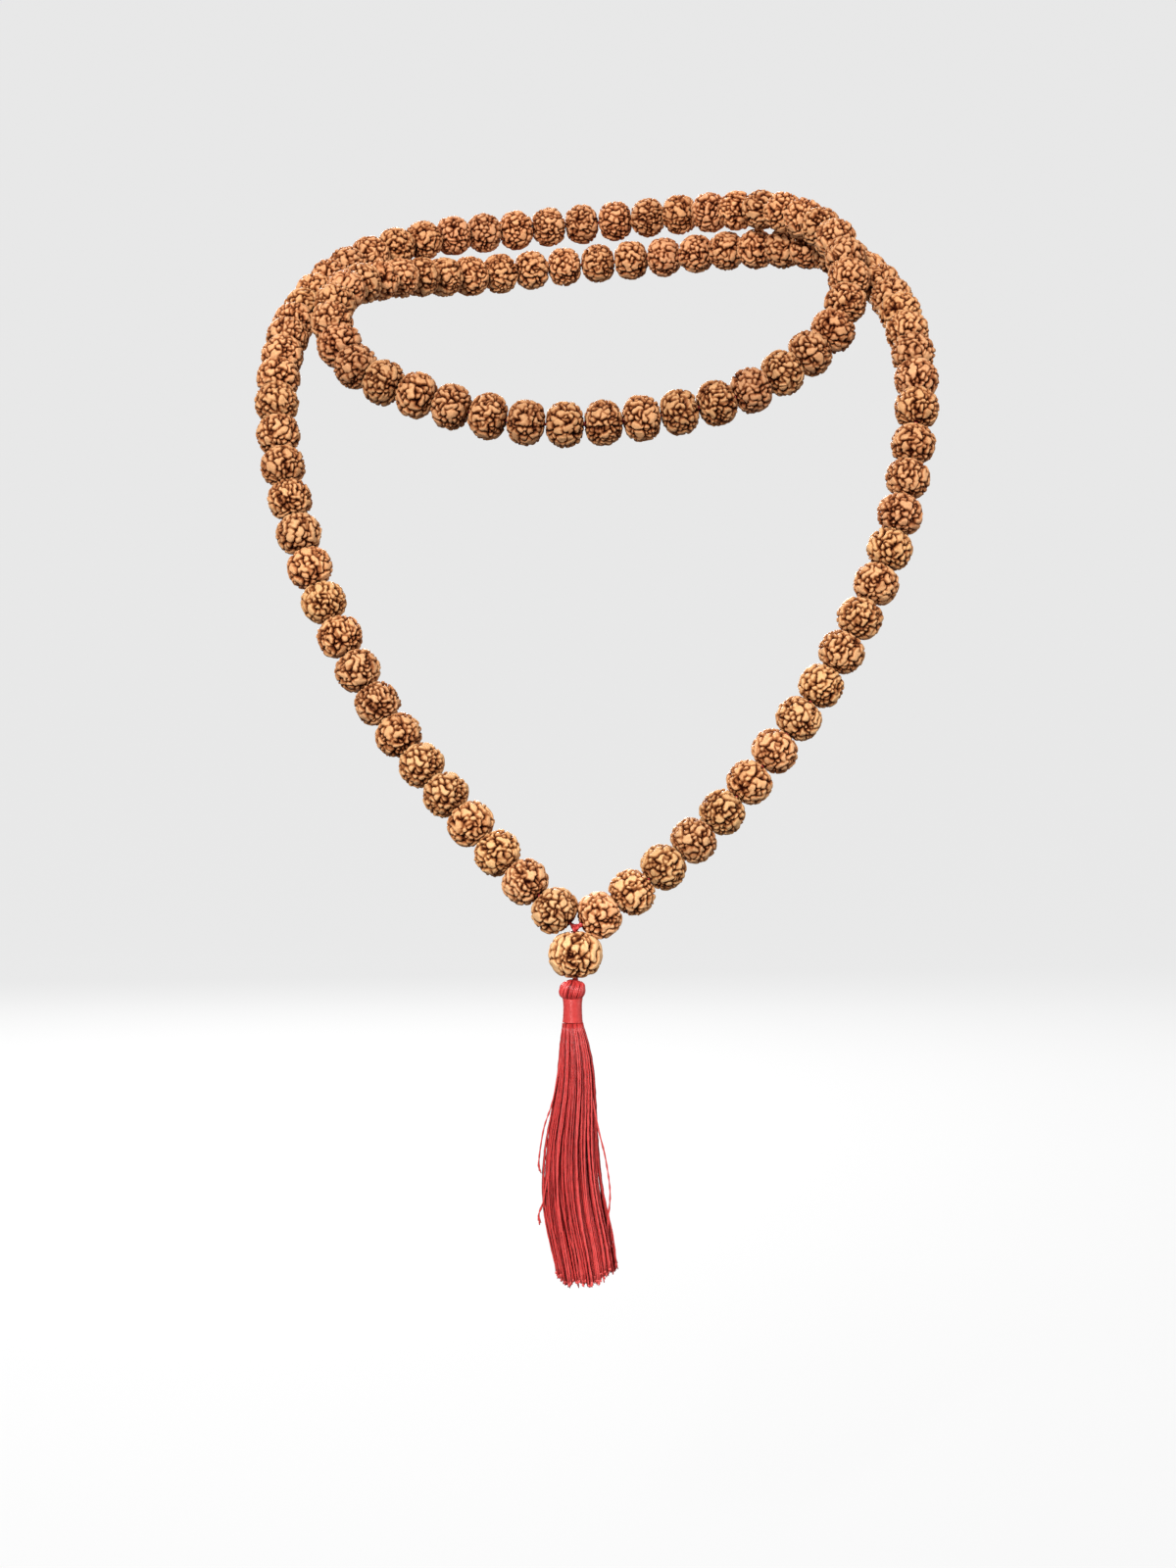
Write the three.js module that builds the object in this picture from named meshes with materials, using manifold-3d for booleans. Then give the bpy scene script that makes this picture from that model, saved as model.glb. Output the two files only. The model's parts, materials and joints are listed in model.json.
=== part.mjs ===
// Rudraksha mala: 108 seed beads and a guru bead on one red thread, worn doubled, with a tassel.
// Millimetres, +Z up, the front faces -Y. The origin is at the nape, between the two runs of beads
// that lie over the back of whatever holds the mala up.

import * as THREE from 'three';
import { mergeVertices } from 'three/addons/utils/BufferGeometryUtils.js';
import Module from 'manifold-3d';

const wasm = await Module();
wasm.setup();

// Beads: oblate seeds, a little shorter along the thread than they are wide
const BEAD_COUNT = 108;
const BEAD_RADIUS = 3.9;
const BEAD_HALF_LENGTH = 3.3;
const BORE_RADIUS = 0.95;
const BEAD_SIDES = 8;

// A seed's outline, from its widest ring to the mouth of the bore: a superellipse, rounder than a box
// and flatter at the poles than an ellipse. The angles are those of its rings between the two.
const SQUARENESS = 2.2;
const RING_ANGLES = [20, 50];

// Beads pressed together behind the neck meet in a narrow waist
const WAIST_RADIUS = 1.6;

// Guru bead, the largest
const GURU_RADIUS = 4.3;
const GURU_HALF_LENGTH = 3.85;
const GURU_BORE_RADIUS = 0.9;
const GURU_SIDES = 12;

// Thread
const THREAD_RADIUS = 0.4;
const THREAD_SIDES = 8;
const THREAD_STEP = 3;
const THREAD_END_GAP = 0.3;

// Where the thread's two ends meet above the guru bead
const JUNCTION = [-2.1, -108.5, -140.8];
const JUNCTION_RADIUS = 0.6;
const FIRST_BEAD_AT = 4.5;

// The strand bends at four places, where the beads stand a little further apart.
// Each number is the bead before the bend: two at the shoulders of each loop.
const BENDS_AFTER = [16, 46, 62, 92];
const BEND_EXTRA = 0.8;

// Pendant: cord through the guru bead, tassel head, binding and fringe, hung straight down.
// The tassel starts just under the guru bead and hangs a little to the left of its middle.
const GURU_DROP = 4.45;
const CORD_RADIUS = 0.55;
const PART_GAP = 0.3;
const CORD_END_GAP = 0.35;
const TASSEL_DROP = 0.5;
const TASSEL_ASIDE = -0.45;
const HEAD_RADIUS = 2.2;
const HEAD_HEIGHT = 3.6;
const HEAD_SHOULDER = 0.9;
const NECK_RADIUS = 0.9;
const WRAP_INNER = 1.2;
const WRAP_OUTER = 1.6;
const WRAP_HEIGHT = 3.2;
const FRINGE_LENGTH = 42.8;
const FRINGE_TOP_RADIUS = 1.5;
const FRINGE_MID_RADIUS = 3.7;
const FRINGE_END_RADIUS = 4.7;
const TASSEL_SIDES = 12;

// The thread's route, from the junction up the left front strand, over the left shoulder, behind the
// neck, along the front loop from right to left, behind the neck again and down the right strand.
const ROUTE = [
  JUNCTION,
  [-5.3, -108.7, -138.1], [-19.5, -102.5, -124], [-36, -93, -103.5], [-48.5, -85.5, -79.5],
  [-55.5, -74.5, -54.5], [-56.5, -60.5, -38], [-54.5, -43.5, -26], [-47.5, -27, -14.5],
  [-33.5, -14, -6.5], [-15, -5, -2.5], [5.5, -2.5, 0], [25, -10.5, 0], [39, -26, -3.5],
  [47.5, -42.5, -12.5], [49, -52.5, -22], [45, -61, -33.5],
  [29.5, -68, -45.5], [9.5, -71, -51], [-11, -72.5, -52], [-31, -69, -46.5], [-42.5, -64, -40.5],
  [-48, -54.5, -30.5], [-46.5, -43.5, -22.5], [-37.5, -25.5, -16.5],
  [-24.5, -10, -13], [-5, -2.5, -9.5], [15.5, -5, -8], [34, -15, -8.5],
  [48, -30, -12.5], [55.5, -47, -22], [58.5, -64, -34], [58.5, -77.5, -50],
  [52.5, -88, -76], [40, -95, -100], [23, -100, -121.5], [7.5, -105.5, -135], [2.1, -107.6, -138.7],
  JUNCTION,
];

const SEED = new THREE.MeshStandardMaterial({ color: 0xa56f4b, roughness: 0.55, metalness: 0 });
const RED_THREAD = new THREE.MeshStandardMaterial({ color: 0xb02a2c, roughness: 0.8, metalness: 0 });
const RED_SILK = new THREE.MeshStandardMaterial({ color: 0xb83d3c, roughness: 0.6, metalness: 0 });

const vertical = new THREE.Vector3(0, 0, 1);
const route = new THREE.CatmullRomCurve3(ROUTE.map((p) => new THREE.Vector3(...p)), false, 'centripetal');
route.arcLengthDivisions = 4000;
const routeLength = route.getLength();

// Distance along the thread of each bead's centre; the first and last sit just above the junction
const slack = 2 * FIRST_BEAD_AT + BENDS_AFTER.length * BEND_EXTRA;
const pitch = (routeLength - slack) / (BEAD_COUNT - 1);
const beadAt = [];
for (let number = 1; number <= BEAD_COUNT; number++) {
  const bends = BENDS_AFTER.filter((last) => last < number).length;
  beadAt.push(FIRST_BEAD_AT + (number - 1) * pitch + bends * BEND_EXTRA);
}
const bendAt = BENDS_AFTER.map((last) => (beadAt[last - 1] + beadAt[last]) / 2);

// A part of the route, between two distances along the thread
class Stretch extends THREE.Curve {
  constructor(from, to) {
    super();
    this.from = from;
    this.to = to;
  }

  getPoint(t, target = new THREE.Vector3()) {
    const along = this.from + (this.to - this.from) * t;
    return route.getPointAt(along / routeLength, target);
  }
}

// A seed's rings from pole to pole, each a radius and a distance along the bore from the middle
function seedRings(radius, halfLength) {
  const angles = [...RING_ANGLES.map((angle) => -angle).reverse(), 0, ...RING_ANGLES];
  return angles.map((angle) => {
    const turn = THREE.MathUtils.degToRad(Math.abs(angle));
    const out = radius * Math.cos(turn) ** (2 / SQUARENESS);
    const along = Math.sign(angle) * halfLength * Math.sin(turn) ** (2 / SQUARENESS);
    return [out, along];
  });
}

// A turned seed with a bore: the profile closes on itself around the bore's wall
function seedGeometry(radius, halfLength, boreRadius, sides) {
  const profile = [
    [boreRadius, -halfLength], ...seedRings(radius, halfLength), [boreRadius, halfLength],
    [boreRadius, -halfLength],
  ];
  return new THREE.LatheGeometry(profile.map((p) => new THREE.Vector2(...p)), sides);
}

function singleBeadGeometry() {
  return seedGeometry(BEAD_RADIUS, BEAD_HALF_LENGTH, BORE_RADIUS, BEAD_SIDES);
}

// The thread at a distance along it: where it is, the way it runs, and two directions across it
function placeOnThread(along) {
  const centre = route.getPointAt(along / routeLength);
  const onward = route.getTangentAt(along / routeLength);
  const side = new THREE.Vector3().crossVectors(onward, vertical).normalize();
  const across = new THREE.Vector3().crossVectors(side, onward);
  return { centre, onward, side, across };
}

function tubeGeometry(from, to) {
  const corners = [];
  for (let i = 0; i < THREAD_SIDES; i++) {
    const angle = (2 * Math.PI * i) / THREAD_SIDES;
    corners.push(new THREE.Vector2(THREAD_RADIUS * Math.cos(angle), THREAD_RADIUS * Math.sin(angle)));
  }
  return new THREE.ExtrudeGeometry(new THREE.Shape(corners), {
    steps: Math.ceil((to - from) / THREAD_STEP),
    bevelEnabled: false,
    extrudePath: new Stretch(from, to),
  });
}

// manifold-3d takes and gives bare triangles
function solidFrom(geometry) {
  const bare = geometry.clone();
  bare.deleteAttribute('normal');
  bare.deleteAttribute('uv');
  const merged = mergeVertices(bare, 1e-4);
  const mesh = new wasm.Mesh({
    numProp: 3,
    vertProperties: new Float32Array(merged.attributes.position.array),
    triVerts: new Uint32Array(merged.index.array),
  });
  return new wasm.Manifold(mesh);
}

function geometryFrom(solid) {
  const mesh = solid.getMesh();
  const geometry = new THREE.BufferGeometry();
  geometry.setAttribute('position', new THREE.BufferAttribute(mesh.vertProperties, 3));
  geometry.setIndex(new THREE.BufferAttribute(mesh.triVerts, 1));
  geometry.computeVertexNormals();
  return geometry;
}

function joined(geometries) {
  return geometryFrom(geometries.map(solidFrom).reduce((whole, piece) => whole.add(piece)));
}

function named(name, geometry, material) {
  const mesh = new THREE.Mesh(geometry, material);
  mesh.name = name;
  return mesh;
}

// Single beads, each free to turn on the thread; a turned piece's axis is Y
function singleBeads(first, last) {
  const beads = new THREE.Group();
  for (let number = first; number <= last; number++) {
    const bead = named(`bead_${String(number).padStart(3, '0')}`, singleBeadGeometry(), SEED);
    const { centre, onward, side, across } = placeOnThread(beadAt[number - 1]);
    bead.quaternion.setFromRotationMatrix(new THREE.Matrix4().makeBasis(side, onward, across));
    bead.position.copy(centre);
    beads.add(bead);
  }
  return beads;
}

// A turned piece bent along the thread: each profile point is a distance along it and a radius
function bentLatheGeometry(profile, sides) {
  const corners = [];
  const faces = [];
  profile.forEach(([along, radius], row) => {
    const { centre, side, across } = placeOnThread(along);
    const nextRow = (row + 1) % profile.length;
    for (let i = 0; i < sides; i++) {
      const angle = (2 * Math.PI * i) / sides;
      const corner = centre.clone();
      corner.addScaledVector(side, radius * Math.cos(angle));
      corner.addScaledVector(across, radius * Math.sin(angle));
      corners.push(...corner.toArray());
      const next = (i + 1) % sides;
      faces.push(row * sides + i, nextRow * sides + next, row * sides + next);
      faces.push(row * sides + i, nextRow * sides + i, nextRow * sides + next);
    }
  });
  const geometry = new THREE.BufferGeometry();
  geometry.setAttribute('position', new THREE.Float32BufferAttribute(corners, 3));
  geometry.setIndex(faces);
  geometry.computeVertexNormals();
  return geometry;
}

// A run of beads pressed end to end is one body: a waist where two beads meet, and one bore throughout
function pressedBeads(name, first, last) {
  const outside = [];
  const bore = [];
  for (let number = first; number <= last; number++) {
    const middle = beadAt[number - 1];
    outside.push([middle - pitch / 2, number === first ? BORE_RADIUS : WAIST_RADIUS]);
    for (const [radius, along] of seedRings(BEAD_RADIUS, BEAD_HALF_LENGTH)) {
      outside.push([middle + along, radius]);
    }
    bore.unshift([middle + pitch / 2, BORE_RADIUS]);
  }
  return named(name, bentLatheGeometry([...outside, ...bore], BEAD_SIDES), SEED);
}

function threadBetween(name, from, to) {
  return named(name, tubeGeometry(from + THREAD_END_GAP, to - THREAD_END_GAP), RED_THREAD);
}

// The lower loop's thread: both ends run into the small knot above the guru bead
function lowerThread() {
  const knot = new THREE.SphereGeometry(JUNCTION_RADIUS, 10, 8).translate(...JUNCTION);
  const left = tubeGeometry(0, bendAt[0] - THREAD_END_GAP);
  const right = tubeGeometry(bendAt[3] + THREAD_END_GAP, routeLength);
  return named('thread_lower', joined([knot, left, right]), RED_THREAD);
}

function turned(name, profile, material) {
  const geometry = new THREE.LatheGeometry(profile.map((p) => new THREE.Vector2(...p)), TASSEL_SIDES);
  return named(name, geometry.rotateX(Math.PI / 2), material);
}

function pendant() {
  const group = new THREE.Group();
  group.position.set(...JUNCTION);

  const guru = seedGeometry(GURU_RADIUS, GURU_HALF_LENGTH, GURU_BORE_RADIUS, GURU_SIDES);
  const guruBead = named('guru_bead', guru.rotateX(Math.PI / 2), SEED);
  guruBead.position.z = -GURU_DROP;

  const cordTop = -(JUNCTION_RADIUS + PART_GAP);
  const headTop = -(GURU_DROP + GURU_HALF_LENGTH + TASSEL_DROP);
  const cordBottom = headTop + CORD_END_GAP;
  const cord = turned('pendant_cord', [
    [0, cordBottom], [CORD_RADIUS, cordBottom], [CORD_RADIUS, cordTop], [0, cordTop],
  ], RED_THREAD);

  const headBottom = headTop - HEAD_HEIGHT;
  const neckBottom = headBottom - WRAP_HEIGHT - 2 * PART_GAP;
  const head = turned('tassel_head', [
    [0, neckBottom], [NECK_RADIUS, neckBottom], [NECK_RADIUS, headBottom], [WRAP_OUTER, headBottom],
    [HEAD_RADIUS, headBottom + HEAD_SHOULDER], [HEAD_RADIUS, headTop - 2 * HEAD_SHOULDER],
    [NECK_RADIUS, headTop], [0, headTop],
  ], RED_SILK);

  const wrapTop = headBottom - PART_GAP;
  const wrapBottom = wrapTop - WRAP_HEIGHT;
  const wrap = turned('tassel_wrap', [
    [WRAP_INNER, wrapBottom], [WRAP_OUTER, wrapBottom], [WRAP_OUTER, wrapTop], [WRAP_INNER, wrapTop],
    [WRAP_INNER, wrapBottom],
  ], RED_SILK);

  const fringeTop = neckBottom - PART_GAP;
  const fringeBottom = fringeTop - FRINGE_LENGTH;
  const fringe = turned('tassel_fringe', [
    [0, fringeBottom], [FRINGE_END_RADIUS, fringeBottom],
    [FRINGE_END_RADIUS, fringeTop - FRINGE_LENGTH * 0.6],
    [FRINGE_MID_RADIUS, fringeTop - FRINGE_LENGTH * 0.25],
    [FRINGE_TOP_RADIUS, fringeTop], [0, fringeTop],
  ], RED_SILK);

  const tassel = new THREE.Group();
  tassel.position.x = TASSEL_ASIDE;
  tassel.add(head, wrap, fringe);
  group.add(guruBead, cord, tassel);
  return group;
}

const mala = new THREE.Group();
mala.add(lowerThread());
mala.add(threadBetween('thread_nape_1', bendAt[0], bendAt[1]));
mala.add(threadBetween('thread_upper', bendAt[1], bendAt[2]));
mala.add(threadBetween('thread_nape_2', bendAt[2], bendAt[3]));
mala.add(singleBeads(1, BENDS_AFTER[0]));
mala.add(pressedBeads('beads_nape_1', BENDS_AFTER[0] + 1, BENDS_AFTER[1]));
mala.add(singleBeads(BENDS_AFTER[1] + 1, BENDS_AFTER[2]));
mala.add(pressedBeads('beads_nape_2', BENDS_AFTER[2] + 1, BENDS_AFTER[3]));
mala.add(singleBeads(BENDS_AFTER[3] + 1, BEAD_COUNT));
mala.add(pendant());

export default mala;
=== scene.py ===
# A rudraksha mala: 108 furrowed seeds and a guru bead on a red thread, worn doubled, with a silk tassel.
# Metres, +Z up, the front of the mala faces -Y.

import json
import math

import bmesh
import bpy
import numpy as np
from mathutils import Matrix, Vector, noise


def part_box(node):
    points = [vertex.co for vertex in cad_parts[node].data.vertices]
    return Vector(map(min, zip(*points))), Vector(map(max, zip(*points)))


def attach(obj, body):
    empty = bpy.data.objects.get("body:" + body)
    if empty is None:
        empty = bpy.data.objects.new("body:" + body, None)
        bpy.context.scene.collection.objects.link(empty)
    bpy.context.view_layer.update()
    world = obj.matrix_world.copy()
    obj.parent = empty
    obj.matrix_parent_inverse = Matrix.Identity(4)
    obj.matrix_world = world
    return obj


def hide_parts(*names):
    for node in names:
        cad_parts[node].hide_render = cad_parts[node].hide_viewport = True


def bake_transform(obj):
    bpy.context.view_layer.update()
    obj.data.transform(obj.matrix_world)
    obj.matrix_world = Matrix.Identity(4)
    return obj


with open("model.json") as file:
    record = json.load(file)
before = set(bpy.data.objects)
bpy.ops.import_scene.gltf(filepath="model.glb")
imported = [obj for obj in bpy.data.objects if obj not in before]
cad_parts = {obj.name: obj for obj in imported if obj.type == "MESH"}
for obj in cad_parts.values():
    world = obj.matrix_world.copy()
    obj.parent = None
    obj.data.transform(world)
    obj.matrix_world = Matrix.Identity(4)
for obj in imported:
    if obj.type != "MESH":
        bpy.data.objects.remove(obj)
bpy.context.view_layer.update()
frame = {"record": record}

MM = 0.001
BODIES = frame["record"]["behaviour"]["bodies"]

# ---------------------------------------------------------------- the thread's route, as in part.mjs

JUNCTION = (-0.0021, -0.1085, -0.1408)
ROUTE = [
    JUNCTION,
    (-0.0053, -0.1087, -0.1381), (-0.0195, -0.1025, -0.124), (-0.036, -0.093, -0.1035),
    (-0.0485, -0.0855, -0.0795), (-0.0555, -0.0745, -0.0545), (-0.0565, -0.0605, -0.038),
    (-0.0545, -0.0435, -0.026), (-0.0475, -0.027, -0.0145), (-0.0335, -0.014, -0.0065),
    (-0.015, -0.005, -0.0025), (0.0055, -0.0025, 0), (0.025, -0.0105, 0), (0.039, -0.026, -0.0035),
    (0.0475, -0.0425, -0.0125), (0.049, -0.0525, -0.022), (0.045, -0.061, -0.0335),
    (0.0295, -0.068, -0.0455), (0.0095, -0.071, -0.051), (-0.011, -0.0725, -0.052),
    (-0.031, -0.069, -0.0465), (-0.0425, -0.064, -0.0405), (-0.048, -0.0545, -0.0305),
    (-0.0465, -0.0435, -0.0225), (-0.0375, -0.0255, -0.0165), (-0.0245, -0.01, -0.013),
    (-0.005, -0.0025, -0.0095), (0.0155, -0.005, -0.008), (0.034, -0.015, -0.0085),
    (0.048, -0.03, -0.0125), (0.0555, -0.047, -0.022), (0.0585, -0.064, -0.034),
    (0.0585, -0.0775, -0.05), (0.0525, -0.088, -0.076), (0.04, -0.095, -0.1),
    (0.023, -0.1, -0.1215), (0.0075, -0.1055, -0.135), (0.0021, -0.1076, -0.1387),
    JUNCTION,
]
SPAN_STEPS = 200

BEAD_COUNT = 108
FIRST_BEAD_AT = 4.5 * MM
BENDS_AFTER = (16, 46, 62, 92)
BEND_EXTRA = 0.8 * MM


def spline_span(before, start, end, after):
    """Points along one span of a centripetal Catmull-Rom spline."""
    gaps = [np.sum((b - a) ** 2) ** 0.25 for a, b in ((before, start), (start, end), (end, after))]
    lead = (start - before) / gaps[0] - (end - before) / (gaps[0] + gaps[1]) + (end - start) / gaps[1]
    trail = (end - start) / gaps[1] - (after - start) / (gaps[1] + gaps[2]) + (after - end) / gaps[2]
    lead, trail = lead * gaps[1], trail * gaps[1]
    t = np.linspace(0, 1, SPAN_STEPS, endpoint=False)[:, None]
    square, cube = -3 * start + 3 * end - 2 * lead - trail, 2 * start - 2 * end + lead + trail
    return start + lead * t + square * t**2 + cube * t**3


def spline(points):
    """A dense polyline along the smooth curve through the points."""
    points = np.array(points, float)
    ends = (2 * points[:1] - points[1:2], 2 * points[-1:] - points[-2:-1])
    padded = np.concatenate([ends[0], points, ends[1]])
    spans = [spline_span(*padded[i:i + 4]) for i in range(len(points) - 1)]
    return np.concatenate([*spans, points[-1:]])


route_line = spline(ROUTE)
route_at = np.concatenate([[0], np.cumsum(np.linalg.norm(np.diff(route_line, axis=0), axis=1))])
route_length = route_at[-1]


def on_route(along):
    """Where the thread is at one or more distances along it."""
    return np.stack([np.interp(along, route_at, route_line[:, k]) for k in range(3)], axis=-1)


def onward(along):
    """The direction that the thread runs in at a distance along it."""
    step = on_route(along + 0.3 * MM) - on_route(along - 0.3 * MM)
    return step / np.linalg.norm(step)


pitch = (route_length - 2 * FIRST_BEAD_AT - len(BENDS_AFTER) * BEND_EXTRA) / (BEAD_COUNT - 1)
bead_at = [
    FIRST_BEAD_AT + (number - 1) * pitch + BEND_EXTRA * sum(last < number for last in BENDS_AFTER)
    for number in range(1, BEAD_COUNT + 1)
]
bend_at = [(bead_at[last - 1] + bead_at[last]) / 2 for last in BENDS_AFTER]

# ---------------------------------------------------------------- camera

CAMERA_PLACE = (0, -0.525, -0.117)
SENSOR = 36
LENS = 57.71

camera = bpy.data.objects.new("camera", bpy.data.cameras.new("camera"))
camera.location = CAMERA_PLACE
camera.rotation_euler = (math.pi / 2, 0, 0)
camera.data.sensor_width = SENSOR
camera.data.lens = LENS
camera.data.clip_start = 0.01
bpy.context.scene.collection.objects.link(camera)
bpy.context.scene.camera = camera

# ---------------------------------------------------------------- mesh helpers


def make_mesh(name, vertices, faces, values=None):
    """A smooth mesh, with a number for each vertex in each named attribute."""
    mesh = bpy.data.meshes.new(name)
    mesh.from_pydata([tuple(v) for v in vertices], [], faces)
    for attribute, numbers in (values or {}).items():
        mesh.attributes.new(attribute, "FLOAT", "POINT").data.foreach_set("value", numbers)
    mesh.shade_smooth()
    return mesh


def make_piece(name, mesh, material):
    piece = bpy.data.objects.new(name, mesh)
    bpy.context.scene.collection.objects.link(piece)
    piece.data.materials.clear()
    piece.data.materials.append(material)
    return piece


def transported_frames(line):
    """Two directions across a line at each of its points, turning as little as they can."""
    ahead = np.gradient(line, axis=0)
    ahead /= np.linalg.norm(ahead, axis=1)[:, None]
    first = np.cross(ahead[0], (0.31, 0.95, 0.07) if abs(ahead[0][1]) < 0.9 else (1, 0, 0))
    sides = [first / np.linalg.norm(first)]
    for direction in ahead[1:]:
        side = sides[-1] - direction * np.dot(sides[-1], direction)
        sides.append(side / np.linalg.norm(side))
    sides = np.array(sides)
    return sides, np.cross(ahead, sides)


class Builder:
    """Gathers swept solids into one mesh."""

    def __init__(self):
        self.vertices, self.faces, self.shades = [], [], []
        self.count = 0

    def sweep(self, line, section, shade=0.5, closed=False):
        """section holds each ring's corners: rings x sides x 2. shade is one number or one for each ring."""
        side, up = transported_frames(line)
        rings, sides = section.shape[:2]
        corners = line[:, None] + section[..., :1] * side[:, None] + section[..., 1:] * up[:, None]
        start = self.count
        for ring in range(rings if closed else rings - 1):
            a, b = start + ring * sides, start + (ring + 1) % rings * sides
            for i in range(sides):
                j = (i + 1) % sides
                self.faces.append((a + i, a + j, b + j, b + i))
        if not closed:
            self.faces.append(tuple(start + i for i in reversed(range(sides))))
            self.faces.append(tuple(start + (rings - 1) * sides + i for i in range(sides)))
        self.vertices.append(corners.reshape(-1, 3))
        self.shades += list(np.repeat(np.broadcast_to(shade, rings), sides))
        self.count += rings * sides

    def add(self, vertices, faces, shade):
        self.faces += [tuple(i + self.count for i in face) for face in faces]
        self.vertices.append(np.array(vertices))
        self.shades += [shade] * len(vertices)
        self.count += len(vertices)

    def mesh(self, name):
        return make_mesh(name, np.concatenate(self.vertices), self.faces, {"shade": self.shades})


def round_section(radii, sides):
    """Rings of regular corners, one radius for each ring."""
    turn = np.arange(sides) * 2 * math.pi / sides
    ring = np.stack([np.cos(turn), np.sin(turn)], axis=-1)
    return np.asarray(radii)[:, None, None] * ring


def plied_section(distances, radii, sides, plies, twist, depth=0.22):
    """A lobed section that turns along the line, as the plies of a twisted thread do."""
    turn = np.arange(sides) * 2 * math.pi / sides
    lobes = np.cos(plies * (turn[None] - twist * np.asarray(distances)[:, None]))
    reach = np.asarray(radii)[:, None] * (1 - depth / 2 + depth / 2 * lobes)
    return reach[..., None] * np.stack([np.cos(turn), np.sin(turn)], axis=-1)


def distances_along(line):
    return np.concatenate([[0], np.cumsum(np.linalg.norm(np.diff(line, axis=0), axis=1))])


# ---------------------------------------------------------------- materials


class Nodes:
    """Short names for building a material's node tree."""

    def __init__(self, name):
        self.material = bpy.data.materials.new(name)
        self.material.use_nodes = True
        self.tree = self.material.node_tree
        self.shader = self.tree.nodes["Principled BSDF"]

    def add(self, kind, **settings):
        node = self.tree.nodes.new(kind)
        for key, value in settings.items():
            setattr(node, key, value)
        return node

    def link(self, source, target):
        self.tree.links.new(source, target)

    def fixed(self, **values):
        """Sets the shader's own sockets; underscores in a name stand for spaces."""
        for key, value in values.items():
            self.shader.inputs[key.replace("_", " ")].default_value = value

    def noise(self, per_metre, detail=3.0, roughness=0.5):
        place = self.add("ShaderNodeTexCoord")
        node = self.add("ShaderNodeTexNoise")
        node.inputs["Scale"].default_value = per_metre
        node.inputs["Detail"].default_value = detail
        node.inputs["Roughness"].default_value = roughness
        self.link(place.outputs["Object"], node.inputs["Vector"])
        return node.outputs["Fac"]

    def maths(self, operation, a, b):
        node = self.add("ShaderNodeMath", operation=operation)
        for socket, value in zip(node.inputs, (a, b)):
            if isinstance(value, (int, float)):
                socket.default_value = value
            else:
                self.link(value, socket)
        return node.outputs[0]

    def attribute(self, name):
        node = self.add("ShaderNodeAttribute", attribute_type="GEOMETRY", attribute_name=name)
        return node.outputs["Fac"]

    def ramp(self, value, stops):
        node = self.add("ShaderNodeValToRGB")
        elements = node.color_ramp.elements
        while len(elements) < len(stops):
            elements.new(0.5)
        for element, (place, colour) in zip(elements, stops):
            element.position = place
            element.color = (*colour, 1)
        self.link(value, node.inputs["Fac"])
        return node.outputs["Color"]

    def mix(self, blend, share, a, b):
        node = self.add("ShaderNodeMix", data_type="RGBA", blend_type=blend)
        wanted = {"Factor": share, "A": a, "B": b}
        for socket in node.inputs:
            if not socket.enabled or socket.name not in wanted:
                continue
            value = wanted[socket.name]
            if isinstance(value, bpy.types.NodeSocket):
                self.link(value, socket)
            else:
                socket.default_value = value
        return next(s for s in node.outputs if s.enabled)

    def bump(self, height, strength, distance):
        node = self.add("ShaderNodeBump")
        node.inputs["Strength"].default_value = strength
        node.inputs["Distance"].default_value = distance
        self.link(height, node.inputs["Height"])
        self.link(node.outputs["Normal"], self.shader.inputs["Normal"])


def seed_material():
    """Oiled seed: tan ridge tops, red-brown slopes and nearly black furrows, tinted by each bead's colour.
    The darker slopes are painted shade; the dark furrows are partly the seed's own colour and partly painted
    shade.
    """
    n = Nodes("seed")
    blotches = n.noise(700, detail=4)
    grain = n.noise(3200, detail=3)
    stain = n.maths("MULTIPLY", n.maths("SUBTRACT", blotches, 0.5), 0.34)
    island = n.maths("MULTIPLY", n.maths("SUBTRACT", n.attribute("tone"), 0.5), 0.16)
    height = n.maths("ADD", n.maths("ADD", n.attribute("shaded_relief"), stain), island)
    # Colour follows the painted lightness: its darks are partly the seed's own darker furrows and partly
    # painted shade.
    colour = n.ramp(height, [
        (0.0, (0.014, 0.002, 0.001)),
        (0.25, (0.052, 0.010, 0.003)),
        (0.50, (0.205, 0.062, 0.020)),
        (0.72, (0.410, 0.165, 0.062)),
        (0.93, (0.680, 0.370, 0.175)),
    ])
    speckle = n.ramp(grain, [(0.3, (0.80, 0.76, 0.72)), (0.65, (1.0, 1.0, 1.0))])
    colour = n.mix("MULTIPLY", 1.0, colour, speckle)
    tint = n.add("ShaderNodeObjectInfo").outputs["Color"]
    n.link(n.mix("MULTIPLY", 1.0, colour, tint), n.shader.inputs["Base Color"])
    shine = n.add("ShaderNodeMapRange")
    shine.inputs["From Min"].default_value = 0.3
    shine.inputs["From Max"].default_value = 0.7
    shine.inputs["To Min"].default_value = 0.38
    shine.inputs["To Max"].default_value = 0.6
    n.link(blotches, shine.inputs["Value"])
    n.link(shine.outputs["Result"], n.shader.inputs["Roughness"])
    n.fixed(IOR=1.4, Specular_Tint=(1.0, 0.66, 0.42, 1))
    n.link(n.maths("MULTIPLY", n.attribute("shaded_relief"), 0.4), n.shader.inputs["Specular IOR Level"])
    n.bump(grain, 0.5, 0.00006)
    return n.material


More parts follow.
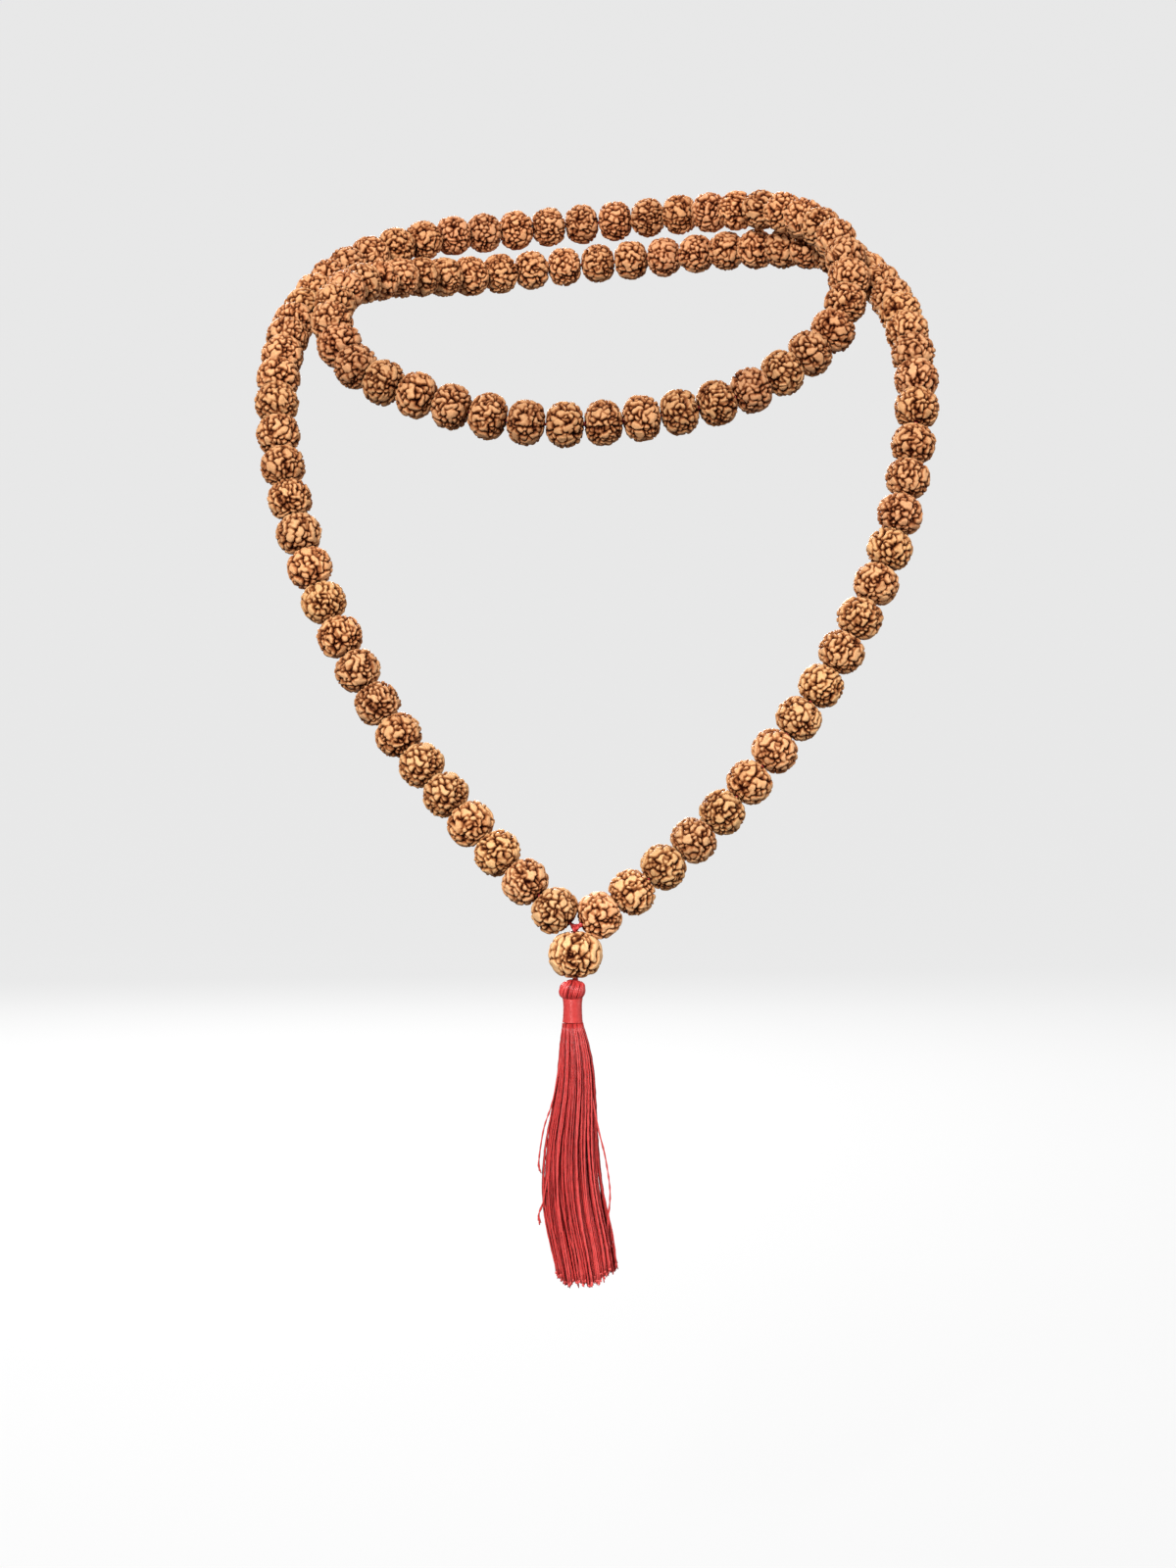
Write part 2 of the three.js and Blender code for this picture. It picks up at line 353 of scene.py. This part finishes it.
def silk_material(name, deep, middle, light, roughness):
    """Dyed thread: each strand a little lighter or deeper, with a soft sheen. The shade attribute also
    carries painted shade: deeper in the head's crease and on the hidden cores.
    """
    n = Nodes(name)
    streaks = n.noise(1800, detail=2)
    value = n.maths("ADD", n.attribute("shade"), n.maths("MULTIPLY", n.maths("SUBTRACT", streaks, 0.5), 0.5))
    n.link(n.ramp(value, [(0.0, deep), (0.5, middle), (1.0, light)]), n.shader.inputs["Base Color"])
    n.fixed(Roughness=roughness, IOR=1.45, Sheen_Weight=0.06, Sheen_Roughness=0.4)
    n.shader.inputs["Sheen Tint"].default_value = (1.0, 0.55, 0.5, 1)
    n.bump(n.noise(9000, detail=1), 0.35, 0.00004)
    return n.material


SEED = seed_material()
SILK = silk_material("silk", (0.16, 0.005, 0.005), (0.43, 0.024, 0.022), (0.66, 0.080, 0.073), 0.38)
THREAD = silk_material("thread", (0.20, 0.007, 0.007), (0.46, 0.030, 0.028), (0.70, 0.070, 0.064), 0.6)

# ---------------------------------------------------------------- seeds

# Blender seeds its vector noise from the clock, so it is set here to come out the same each time.
NOISE_SEED = 5
noise.seed_set(NOISE_SEED)

BEAD_REACH = 3.96
BEAD_HALF = 3.46
SQUARENESS = 2.35
BORE = 0.62
MUKHIS = 5
MUKHI_START = -math.pi / 2 - math.pi / 5
VARIANTS = 12
BEAD_CUTS = 39
BEAD_CELLS = 170
BEAD_CELLS_STEP = 14
BEAD_MERGING = 0.42
BEAD_MERGING_STEP = 0.10
BEAD_FIRST_SEED = 40
SIZE_SPREAD = (0.98, 1.012)
# The beads of the short loop are a little plumper than the rest, and painted darker as painted shade, where
# less light falls.
SHORT_LOOP_BEADS = (1.06, 0.85)
GURU_CUTS = 49
GURU_CELLS = 125
GURU_FRONT_CELLS = 22
GURU_MERGING = 0.62
GURU_SEED = 7
# How much larger than its CAD solid the guru bead's smooth shape is, across and along, in millimetres.
GURU_FULLER = (0.1, 0.04)
GURU_COLOUR = (1.16, 1.27, 1.30)

# The surface of every seed, in millimetres.
FURROW_DEPTH = 0.48
PIT_DEPTH = 0.24
PIT_REACH = 0.42
GROOVE_DEPTH = 0.34
GROOVE_REACH = 0.19
SLOPE_REACH = 0.26
DEEPEST = 0.62
POLE_FADE = 1.6
# How dark a seed is painted with depth, partly its own darker furrows and partly painted shade, and down the
# sides of its ridges, which is painted shade.
DARK_BY_DEPTH = 0.6
DARK_DEPTH = 0.56
SHADE_BY_SLOPE = 0.42


def cube_sphere(cuts):
    """Unit directions and quads of a sphere made from an even grid on a cube."""
    bm = bmesh.new()
    bmesh.ops.create_cube(bm, size=2.0)
    bmesh.ops.subdivide_edges(bm, edges=bm.edges[:], cuts=cuts, use_grid_fill=True)
    points = np.array([v.co for v in bm.verts])
    faces = [tuple(v.index for v in f.verts) for f in bm.faces]
    bm.free()
    points = np.tan(points * math.pi / 4)
    return points / np.linalg.norm(points, axis=1)[:, None], faces


def scattered(count, random):
    """Directions spread unevenly but not in clumps: each is the loneliest of a few tries."""
    chosen = np.zeros((0, 3))
    for _ in range(count):
        tries = random.normal(size=(4, 3))
        tries /= np.linalg.norm(tries, axis=1)[:, None]
        if len(chosen):
            gaps = np.linalg.norm(tries[:, None] - chosen[None], axis=2).min(axis=1)
            tries = tries[gaps.argmax()][None]
        chosen = np.concatenate([chosen, tries[:1]])
    return chosen


def smooth_noise(points, size, offset):
    """Noise of about -1 to 1, for points in millimetres and bumps of a size."""
    return np.array([noise.noise(Vector(p) / size + offset) for p in points])


def swirled(points, size, reach, offset):
    """The points moved about by noise, so that straight edges come out wavy."""
    moves = np.array([noise.noise_vector(Vector(p) / size + offset) for p in points])
    return points + reach * moves


def island_of(centres, sector, random, merging):
    """Joins neighbouring cells into islands, mostly along the bead and never across a mukhi line."""
    island = np.arange(len(centres))
    gaps = np.linalg.norm(centres[:, None] - centres[None], axis=2)
    pairs = [(i, j) for i in range(len(centres)) for j in np.argsort(gaps[i])[1:6] if i < j]
    random.shuffle(pairs)
    for i, j in pairs:
        step = (centres[j] - centres[i]) / gaps[i, j]
        members = np.isin(island, (island[i], island[j])).sum()
        likely = merging * (0.25 + 0.9 * abs(step[2]))
        if sector[i] == sector[j] and members <= 5 and random.random() < likely:
            island[island == island[j]] = island[i]
    return np.unique(island, return_inverse=True)[1]


def mukhi_angle(points, start):
    """How far round each point is, in mukhis: whole numbers are the five lines from pole to pole."""
    return (np.arctan2(points[:, 1], points[:, 0]) - start) / (2 * math.pi) * MUKHIS


def seed_surface(points, centres, start, random, merging):
    """For points on a smooth seed: their depth, lumpiness and lightness, and their island's tone. The
    lightness holds painted shade in furrows and down ridge sides.
    """
    offset = Vector(random.uniform(-50, 50, 3))
    sector = np.floor(mukhi_angle(centres, start)) % MUKHIS
    island = island_of(centres, sector, random, merging)
    order = np.argsort(island, kind="stable")
    firsts = np.unique(island[order], return_index=True)[1]
    wavy = swirled(swirled(points, 1.3, 0.45, offset), 0.5, 0.13, offset)
    reaches = np.linalg.norm(wavy[:, None] - centres[order][None], axis=2)
    to_island = np.minimum.reduceat(reaches, firsts, axis=1)
    nearest = np.partition(to_island, 2, axis=1)[:, :3]
    edge = nearest[:, 1] - nearest[:, 0]
    corner = nearest[:, 2] - nearest[:, 0]

    # How strong and how wide the furrows are drifts over the seed.
    strength = np.clip(0.88 + 1.1 * smooth_noise(points, 0.95, offset), 0.25, 1.2)
    width = np.clip(0.27 + 0.22 * smooth_noise(points, 1.4, offset * 6), 0.15, 0.42)
    furrow = np.exp(-(edge / width) ** 1.5) * strength
    slope = np.exp(-edge / SLOPE_REACH) * (0.4 + 0.6 * strength)
    pit = np.exp(-(corner / PIT_REACH) ** 2)
    wander = 0.2 * smooth_noise(points, 1.5, offset * 2)
    line = mukhi_angle(points, start)
    turn_aside = np.abs(line - np.round(line)) * 2 * math.pi / MUKHIS
    aside = turn_aside * np.hypot(points[:, 0], points[:, 1]) + wander
    groove = np.exp(-(aside / GROOVE_REACH) ** 2)
    groove = groove * np.clip(0.85 + smooth_noise(points, 2.4, offset * 5), 0.3, 1)
    depth = np.clip(FURROW_DEPTH * furrow + PIT_DEPTH * pit + GROOVE_DEPTH * groove, 0, DEEPEST)

    own = to_island.argmin(axis=1)
    swell = random.uniform(-0.07, 0.06, len(firsts))[own] * (1 - np.exp(-edge / 0.35))
    tone = random.uniform(0, 1, len(firsts))[own]
    crown = 0.10 * (1 - np.exp(-edge / 0.5))
    lumps = 0.13 * smooth_noise(points, 1.2, offset * 3) + 0.07 * smooth_noise(points, 2.6, offset * 4)
    # Lightness for the colour: darker in furrows, partly the seed's own darker furrows and partly painted
    # shade, and darker down ridge sides as painted shade.
    shaded_relief = 1 - DARK_BY_DEPTH * depth / DARK_DEPTH - SHADE_BY_SLOPE * slope
    return depth, lumps + swell + crown, shaded_relief, tone


def crowded_front(count, random):
    """More directions, packed in a band down the front of a seed."""
    turn = random.uniform(-0.42, 0.42, count) - math.pi / 2
    height = np.linspace(-0.82, 0.82, count)
    level = np.sqrt(1 - height**2)
    return np.stack([level * np.cos(turn), level * np.sin(turn), height], axis=-1)


def seed_mesh(name, reach, half, cells, cuts, merging, number, front=0):
    """One furrowed seed, its thread along Z, in metres. Its lightness attribute, partly painted shade, is 0
    in a furrow, 1 on top.
    """
    random = np.random.default_rng(number)
    directions, faces = cube_sphere(cuts)
    across = np.hypot(directions[:, 0], directions[:, 1])
    along = np.abs(directions[:, 2])
    radius = ((across / reach) ** SQUARENESS + (along / half) ** SQUARENESS) ** (-1 / SQUARENESS)
    points = directions * radius[:, None]
    centres = np.concatenate([scattered(cells, random), crowded_front(front, random)]) * (reach, reach, half)
    start = MUKHI_START if front else random.uniform(0, 2 * math.pi)
    depth, lumps, shaded_relief, tone = seed_surface(points, centres, start, random, merging)

    pole = np.clip((np.hypot(points[:, 0], points[:, 1]) - BORE) / POLE_FADE, 0, 1)
    height = lumps * pole - depth * (0.15 + 0.85 * pole)
    points = points + directions * height[:, None]

    bm = bmesh.new()
    layers = [bm.verts.layers.float.new(attribute) for attribute in ("shaded_relief", "tone")]
    for point, *values in zip(points, shaded_relief, tone):
        vertex = bm.verts.new(point * MM)
        for layer, value in zip(layers, values):
            vertex[layer] = value
    bm.verts.ensure_lookup_table()
    for face in faces:
        bm.faces.new([bm.verts[i] for i in face])
    near_axis = [v for v in bm.verts if math.hypot(v.co.x, v.co.y) < BORE * MM]
    bmesh.ops.delete(bm, geom=near_axis, context="VERTS")
    rim = [e for e in bm.edges if e.is_boundary]
    for vertex in {v for e in rim for v in e.verts}:
        flat = Vector((vertex.co.x, vertex.co.y, 0))
        flat *= BORE * MM / flat.length
        vertex.co.x, vertex.co.y = flat.x, flat.y
        # The bore's rim is painted dark, as painted shade inside the hole.
        vertex[layers[0]] = 0.1
    bmesh.ops.bridge_loops(bm, edges=rim)
    bmesh.ops.recalc_face_normals(bm, faces=bm.faces[:])
    mesh = bpy.data.meshes.new(name)
    bm.to_mesh(mesh)
    bm.free()
    mesh.shade_smooth()
    return mesh


def bead_matrix(along, spin, flip, scale):
    """A bead's place on the thread, turned about it by spin and end for end by flip."""
    axis = Vector(onward(along)) * (-1 if flip else 1)
    turn = axis.to_track_quat("Z", "Y").to_matrix().to_4x4()
    size = Matrix.Diagonal((scale, scale, 1, 1))
    return Matrix.Translation(on_route(along)) @ turn @ Matrix.Rotation(spin, 4, "Z") @ size


def bead_colour(height, shade, random):
    """Redder at the top of the mala, yellower near the guru bead, deeper between, each a little different."""
    low = np.clip(-height / abs(JUNCTION[2]), 0, 1)
    shade = shade * (1 - 0.08 * math.sin(math.pi * low))
    tint = (1 - low) * np.array((0.96, 0.87, 0.86)) + low * np.array((1.03, 1.08, 1.08))
    return (*(tint * shade * random.uniform(0.88, 1.08) * random.uniform(0.97, 1.03, 3)), 1)


def make_beads():
    random = np.random.default_rng(108)
    meshes = [
        seed_mesh(f"seed_{kind}", BEAD_REACH, BEAD_HALF, BEAD_CELLS + BEAD_CELLS_STEP * (kind % 4), BEAD_CUTS,
                  BEAD_MERGING + BEAD_MERGING_STEP * (kind % 3), BEAD_FIRST_SEED + kind)
        for kind in range(VARIANTS)
    ]
    bodies = {node: body for body, nodes in BODIES.items() for node in nodes}
    for number, along in enumerate(bead_at, start=1):
        piece = make_piece(f"seed_{number:03d}", meshes[random.integers(VARIANTS)], SEED)
        in_short_loop = BENDS_AFTER[1] < number <= BENDS_AFTER[2]
        # In the short loop the beads get a darker shade, which is painted shade.
        plump, shade = SHORT_LOOP_BEADS if in_short_loop else (1, 1)
        spin, flip = random.uniform(0, 2 * math.pi), random.random() < 0.5
        piece.matrix_world = bead_matrix(along, spin, flip, plump * random.uniform(*SIZE_SPREAD))
        piece.color = bead_colour(on_route(along)[2], shade, random)
        node = f"bead_{number:03d}"
        if node not in bodies:
            node = "beads_nape_1" if number <= BENDS_AFTER[1] else "beads_nape_2"
        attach(piece, bodies[node])
        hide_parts(node)


def make_guru():
    low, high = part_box("guru_bead")
    reach, half = (high.x - low.x) / 2 / MM, (high.z - low.z) / 2 / MM
    mesh = seed_mesh("guru", reach + GURU_FULLER[0], half + GURU_FULLER[1], GURU_CELLS, GURU_CUTS,
                     GURU_MERGING, GURU_SEED, front=GURU_FRONT_CELLS)
    guru = make_piece("guru_seed", mesh, SEED)
    guru.matrix_world = Matrix.Translation((low + high) / 2)
    guru.color = (*GURU_COLOUR, 1)
    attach(guru, "guru")
    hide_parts("guru_bead")


make_beads()
make_guru()

# ---------------------------------------------------------------- thread

THREAD_REACH = 0.42
THREAD_PLIES = 2
THREAD_TWIST = 2 * math.pi / (1.9 * MM)
THREAD_STEP = 0.25 * MM
KNOT_LOOP = 0.19
KNOT_THREAD = 0.26


def thread_along(builder, start, end):
    """The twisted thread between two distances along the route."""
    steps = math.ceil((end - start) / THREAD_STEP)
    distances = np.linspace(start, end, steps + 1)
    radii = np.full(steps + 1, THREAD_REACH * MM)
    section = plied_section(distances, radii, 12, THREAD_PLIES, THREAD_TWIST / THREAD_PLIES, depth=0.5)
    builder.sweep(on_route(distances), section)


def make_thread(name, node, body, stretches):
    builder = Builder()
    for start, end in stretches:
        thread_along(builder, start, end)
    piece = make_piece(name, builder.mesh(name), THREAD)
    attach(piece, body)
    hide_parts(node)


def make_threads():
    make_thread("thread_front", "thread_lower", "lower_loop", [(0, bend_at[0]), (bend_at[3], route_length)])
    make_thread("thread_behind_1", "thread_nape_1", "nape", [(bend_at[0], bend_at[1])])
    make_thread("thread_loop", "thread_upper", "upper_loop", [(bend_at[1], bend_at[2])])
    make_thread("thread_behind_2", "thread_nape_2", "nape", [(bend_at[2], bend_at[3])])


def make_knot():
    """The small knot where the thread's two ends meet, tied as a trefoil."""
    turn = np.linspace(0, 2 * math.pi, 73)[:-1]
    knot = np.stack([np.sin(turn) + 2 * np.sin(2 * turn), np.cos(turn) - 2 * np.cos(2 * turn),
                     -1.6 * np.sin(3 * turn)], axis=-1)
    line = np.array(JUNCTION) + knot[:, [0, 2, 1]] * KNOT_LOOP * MM
    builder = Builder()
    builder.sweep(line, round_section(np.full(len(line), KNOT_THREAD * MM), 10), closed=True)
    piece = make_piece("thread_knot", builder.mesh("thread_knot"), THREAD)
    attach(piece, "lower_loop")


def make_pendant_cord():
    """The two thread ends, twisted together, from the knot through the guru bead to the tassel."""
    low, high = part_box("pendant_cord")
    centre = (low + high) / 2
    heights = np.arange(high.z + 0.2 * MM, low.z - 0.25 * MM, -0.25 * MM)
    line = np.stack([np.full(len(heights), centre.x), np.full(len(heights), centre.y), heights], axis=-1)
    radii = np.full(len(heights), 0.55 * MM)
    builder = Builder()
    builder.sweep(line, plied_section(-heights, radii, 16, 2, 2 * math.pi / (3.2 * MM) / 2, depth=0.55))
    piece = make_piece("cord_through_guru", builder.mesh("cord_through_guru"), THREAD)
    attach(piece, "pendant")
    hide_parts("pendant_cord")


make_threads()
make_knot()
make_pendant_cord()

# ---------------------------------------------------------------- tassel


def lathe(profile, sides, centre, lid=True):
    """A turned solid: the profile's points are radius and height, from the bottom up. lid closes its top."""
    rings = len(profile)
    turn = np.arange(sides) * 2 * math.pi / sides
    vertices = [
        (centre.x + radius * math.cos(a), centre.y + radius * math.sin(a), height)
        for radius, height in profile for a in turn
    ]
    faces = [
        (r * sides + i, r * sides + (i + 1) % sides, (r + 1) * sides + (i + 1) % sides, (r + 1) * sides + i)
        for r in range(rings - 1) for i in range(sides)
    ]
    faces.append(tuple(reversed(range(sides))))
    if lid:
        faces.append(tuple((rings - 1) * sides + i for i in range(sides)))
    return vertices, faces


def smoothed(values):
    """The same run of numbers with its corners rounded off."""
    padded = np.concatenate([2 * values[0] - values[3:0:-1], values, 2 * values[-1] - values[-2:-5:-1]])
    return np.convolve(padded, np.full(7, 1 / 7), mode="valid")


STOPS_APART = 1e-9


def smooth_through(stops, steps):
    """A smooth run of points through stops, which are taken at even spacing."""
    stops = np.array(stops, float)
    # One more, very small coordinate keeps two equal stops apart, since the spline divides by their gap.
    apart = np.linspace(0, STOPS_APART, len(stops))[:, None]
    dense = spline(np.concatenate([stops, apart], axis=1))[:, :-1]
    return dense[np.linspace(0, len(dense) - 1, steps).round().astype(int)]


HEAD_PROFILE = [
    (0.45, 0.12), (0.95, -0.06), (1.5, -0.32), (1.93, -0.85), (2.06, -1.55), (1.92, -2.3), (1.56, -2.85),
    (1.38, -3.3), (1.34, -4.6),
]
HEAD_STRANDS = 56
HEAD_STEPS = 44
CREASE_TURN = 4.25
LOBE_TURN = 3.6
HEAD_TWIST = 0.5


def make_head():
    """A hank of silk folded over the cord and bound at the neck: threads over a core."""
    random = np.random.default_rng(21)
    low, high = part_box("tassel_head")
    centre = (low + high) / 2
    profile = smooth_through(HEAD_PROFILE, HEAD_STEPS)
    builder = Builder()
    for strand in range(HEAD_STRANDS):
        turn = 2 * math.pi * (strand + random.uniform(-0.3, 0.3)) / HEAD_STRANDS
        lobe = math.cos(turn - LOBE_TURN)
        crease = math.exp(-((turn - CREASE_TURN) / 0.22) ** 2)
        swell = 1 + 0.05 * lobe - 0.16 * crease + random.uniform(-0.015, 0.015)
        drop = np.clip(-profile[:, 1] / 3, 0, 1)
        outward = profile[:, 0] * (1 + (swell - 1) * np.sin(math.pi * np.clip(drop, 0, 1)))
        angles = turn + random.uniform(-0.05, 0.05) + HEAD_TWIST * (1 - drop) ** 2
        heights = profile[:, 1] - 0.22 * lobe * np.sin(math.pi * drop)
        line = np.stack([outward * np.cos(angles), outward * np.sin(angles), heights], axis=-1) * MM
        line += (centre.x, centre.y, high.z)
        thickness = np.interp(profile[:, 0], (0.45, 2.1), (0.10, 0.19)) * MM
        section = plied_section(distances_along(line), thickness, 8, 2, math.pi / (1.7 * MM), depth=0.4)
        # Strands in the crease are painted deeper, as painted shade in the fold.
        builder.sweep(line, section, shade=random.uniform(0.35, 1.0) - 0.6 * crease)
    # The core is painted in the deepest colour, as painted shade in the gaps between strands.
    core = [(0.92 * radius - 0.06, height) for radius, height in reversed(profile[2:])]
    vertices, faces = lathe([(r * MM, high.z + h * MM) for r, h in core], 24, centre)
    builder.add(vertices, faces, shade=0.0)
    head = make_piece("silk_head", builder.mesh("silk_head"), SILK)
    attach(head, "tassel")
    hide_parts("tassel_head")


WRAP_THREAD = 0.075
WRAP_REACH = 1.53
WRAP_OVER = 0.95
WRAP_SHORT = 0.2


def make_wrap():
    """Fine silk wound round the neck in one even layer, drawn in a little at the middle."""
    low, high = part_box("tassel_wrap")
    centre = (low + high) / 2
    top, bottom = high.z + WRAP_OVER * MM, low.z + WRAP_SHORT * MM
    turns = (top - bottom) / (2 * WRAP_THREAD * MM * 0.93)
    steps = int(turns * 36)
    down = np.linspace(0, 1, steps)
    angle = down * turns * 2 * math.pi
    reach = (WRAP_REACH + 0.10 * (2 * down - 1) ** 4 - 0.03 * np.sin(down * 5)) * MM
    line = np.stack([centre.x + reach * np.cos(angle), centre.y + reach * np.sin(angle),
                     top + (bottom - top) * down], axis=-1)
    builder = Builder()
    builder.sweep(line, round_section(np.full(steps, WRAP_THREAD * MM), 6), shade=0.68)
    # The cylinder under the winding is painted deeper, as painted shade between the turns.
    inner = (WRAP_REACH - 0.5 * WRAP_THREAD) * MM
    vertices, faces = lathe([(inner, bottom), (inner, top)], 36, centre)
    builder.add(vertices, faces, shade=0.3)
    wrap = make_piece("silk_binding", builder.mesh("silk_binding"), SILK)
    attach(wrap, "tassel")
    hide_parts("tassel_wrap")


STRANDS = 236
STRAND_STEPS = 36
STRAND_RADIUS = 0.2
HAIRS = 4
HAIR_RADII = (0.10, 0.13, 0.13, 0.08)
FRINGE_LEAN = [
    (0, 0), (0.17, 0.6), (0.3, 0.45), (0.4, 0), (0.54, -0.3), (0.73, 0.2), (0.82, 1.0), (0.95, 2.2), (1, 2.4),
]
FRINGE_REACH = [
    (0, 1.6), (0.04, 2.1), (0.17, 2.95), (0.3, 3.4), (0.4, 4.0), (0.54, 4.6), (0.73, 5.1),
    (0.82, 5.3), (1, 5.0),
]
# Each stray thread: how far right and forward of the fringe's middle it is, in millimetres, down its length.
STRAYS = [
    [(0.06, -1.3, 0.8), (0.29, -3.2, 1.2), (0.42, -4.9, 1.4), (0.54, -5.6, 1.2), (0.56, -5.5, 1.1)],
    [(0.10, 1.6, 1.0), (0.39, 4.1, 1.6), (0.54, 5.6, 1.5), (0.66, 6.2, 1.4), (0.78, 5.8, 1.2),
     (0.86, 6.2, 0.8)],
    [(0.30, -2.4, 1.6), (0.52, -3.7, 2.0), (0.68, -4.8, 1.8), (0.74, -5.6, 1.5), (0.76, -5.5, 1.4)],
]


def fringe_middle(t):
    """How far the fringe leans right, in millimetres, down its length from 0 to 1."""
    return np.interp(t, *zip(*FRINGE_LEAN))


def fringe_reach(t):
    """The fringe's radius, in millimetres, down its length from 0 to 1."""
    return np.interp(t, *zip(*FRINGE_REACH))


def draw_strand(builder, line, random, shade):
    """A two-ply thread with a blunt, frayed end. shade holds a number for each step down its length."""
    distances = distances_along(line)
    left = distances[-1] - distances
    radii = STRAND_RADIUS * MM * random.uniform(0.85, 1.1) * (1 + 0.35 * np.exp(-left / (0.7 * MM)))
    twist = math.pi / (random.uniform(1.7, 2.3) * MM)
    builder.sweep(line, plied_section(distances, radii, 6, 2, twist, depth=0.6), shade=shade)
    end, ahead = line[-1], line[-1] - line[-3]
    ahead = ahead / np.linalg.norm(ahead)
    for _ in range(HAIRS):
        aside = random.normal(0, 0.3, 3)
        steps = np.linspace(-0.2, 1, 4)[:, None] * random.uniform(0.3, 0.65) * MM
        hair = end + steps * ahead + aside * np.abs(steps) * np.clip(steps / MM, 0, 1) + aside * 0.25 * MM
        builder.sweep(hair, round_section(np.array(HAIR_RADII) * MM, 4), shade=shade[-1] + 0.2)


def make_fringe():
    """Loose two-ply threads, cut nearly straight across and frayed, swept to the right at the foot."""
    random = np.random.default_rng(33)
    low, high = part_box("tassel_fringe")
    centre = (low + high) / 2
    top, length = high.z + 0.7 * MM, high.z - low.z
    t = np.linspace(0, 1, STRAND_STEPS)
    golden = math.pi * (3 - math.sqrt(5))
    middle = smoothed(fringe_middle(t))
    reach = smoothed(fringe_reach(t))
    builder = Builder()
    for strand in range(STRANDS):
        share = ((strand + 0.5) / STRANDS) ** 0.35
        angle = strand * golden + (random.normal(0, 0.05) + random.normal(0, 0.16) * t) / max(share, 0.4)
        outward = np.minimum(share + random.normal(0, 0.04) * t, 1.03) * reach
        wave = 0.14 * np.sin(t * random.uniform(5, 12) + random.uniform(0, 6)) * t
        x = middle + outward * np.cos(angle) + wave
        y = outward * np.sin(angle) + wave * random.uniform(-1, 1)
        ragged = random.uniform(0, 1.2) + 0.45 * max(x[-1] - 3.0, 0) + 0.5 * max(-1.2 - x[-1], 0)
        z = -t * (length / MM - 0.3 - ragged)
        line = np.stack([centre.x + x * MM, centre.y + y * MM, top + z * MM], axis=-1)
        draw_strand(builder, line, random, random.uniform(0.15, 0.85) + 0.25 * t - 0.2)
    for stray in STRAYS:
        stops = smooth_through([(0.0, 0.0, 0.3)] + stray, STRAND_STEPS)
        right, forward, down = stops[:, 1] * MM, stops[:, 2] * MM, stops[:, 0] * length
        line = np.stack([centre.x + right, centre.y - forward, top - down], axis=-1)
        draw_strand(builder, line, random, np.full(STRAND_STEPS, 0.7))
    # The core is painted deeper than any strand, as painted shade inside the fringe.
    core = np.stack([centre.x + middle * MM, np.full(len(t), centre.y), top - t * (length - 3 * MM)], axis=-1)
    builder.sweep(core, round_section(0.62 * reach * MM, 16), shade=-0.2)
    fringe = make_piece("silk_fringe", builder.mesh("silk_fringe"), SILK)
    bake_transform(fringe)
    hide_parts("tassel_fringe")


make_head()
make_wrap()
make_fringe()

# ---------------------------------------------------------------- stage and light

FLOOR_HEIGHT = -0.262
FLAT_REACH = 1.6
RIM_BEND = 0.9
RIM_HEIGHT = 2.2
STAGE_SIDES = 96
PALE = (0.04, 0.04, 0.04, 1)


def make_stage():
    """A wide pale floor that curves up into a rim all round, so that it is plain from every side."""
    material = Nodes("paper")
    material.fixed(Base_Color=PALE, Roughness=0.9, Emission_Color=(1, 1, 1, 1), Emission_Strength=0.78)
    bend = np.linspace(0, math.pi / 2, 16)
    rim = [(FLAT_REACH + RIM_BEND * math.sin(a), RIM_BEND - RIM_BEND * math.cos(a)) for a in bend]
    profile = [(0.02, 0), (0.8, 0), *rim, (FLAT_REACH + RIM_BEND, RIM_HEIGHT)]
    raised = [(radius, FLOOR_HEIGHT + height) for radius, height in profile]
    vertices, faces = lathe(raised, STAGE_SIDES, Vector((0, 0, 0)), lid=False)
    stage = bpy.data.objects.new("floor", make_mesh("floor", vertices, faces))
    stage.data.materials.append(material.material)
    bpy.context.scene.collection.objects.link(stage)
    stage.visible_diffuse = False
    stage.visible_glossy = False


def add_light(name, place, aim, size, power):
    light = bpy.data.lights.new(name, "AREA")
    light.size = size
    light.energy = power
    lamp = bpy.data.objects.new(name, light)
    lamp.location = place
    lamp.rotation_euler = (Vector(aim) - Vector(place)).to_track_quat("-Z", "Y").to_euler()
    bpy.context.scene.collection.objects.link(lamp)


def make_light():
    middle = (0, -0.06, -0.1)
    add_light("key", (-0.30, -1.0, 0.32), middle, 0.30, 18.5)
    add_light("fill", (0.95, -0.35, 0.2), middle, 0.8, 6)
    add_light("back", (-0.2, 1.0, 0.45), middle, 0.6, 22)
    world = bpy.data.worlds.new("studio")
    world.use_nodes = True
    world.node_tree.nodes["Background"].inputs["Color"].default_value = (1, 1, 1, 1)
    world.node_tree.nodes["Background"].inputs["Strength"].default_value = 0.3
    bpy.context.scene.world = world
    bpy.context.scene.view_settings.view_transform = "Standard"


make_stage()
make_light()
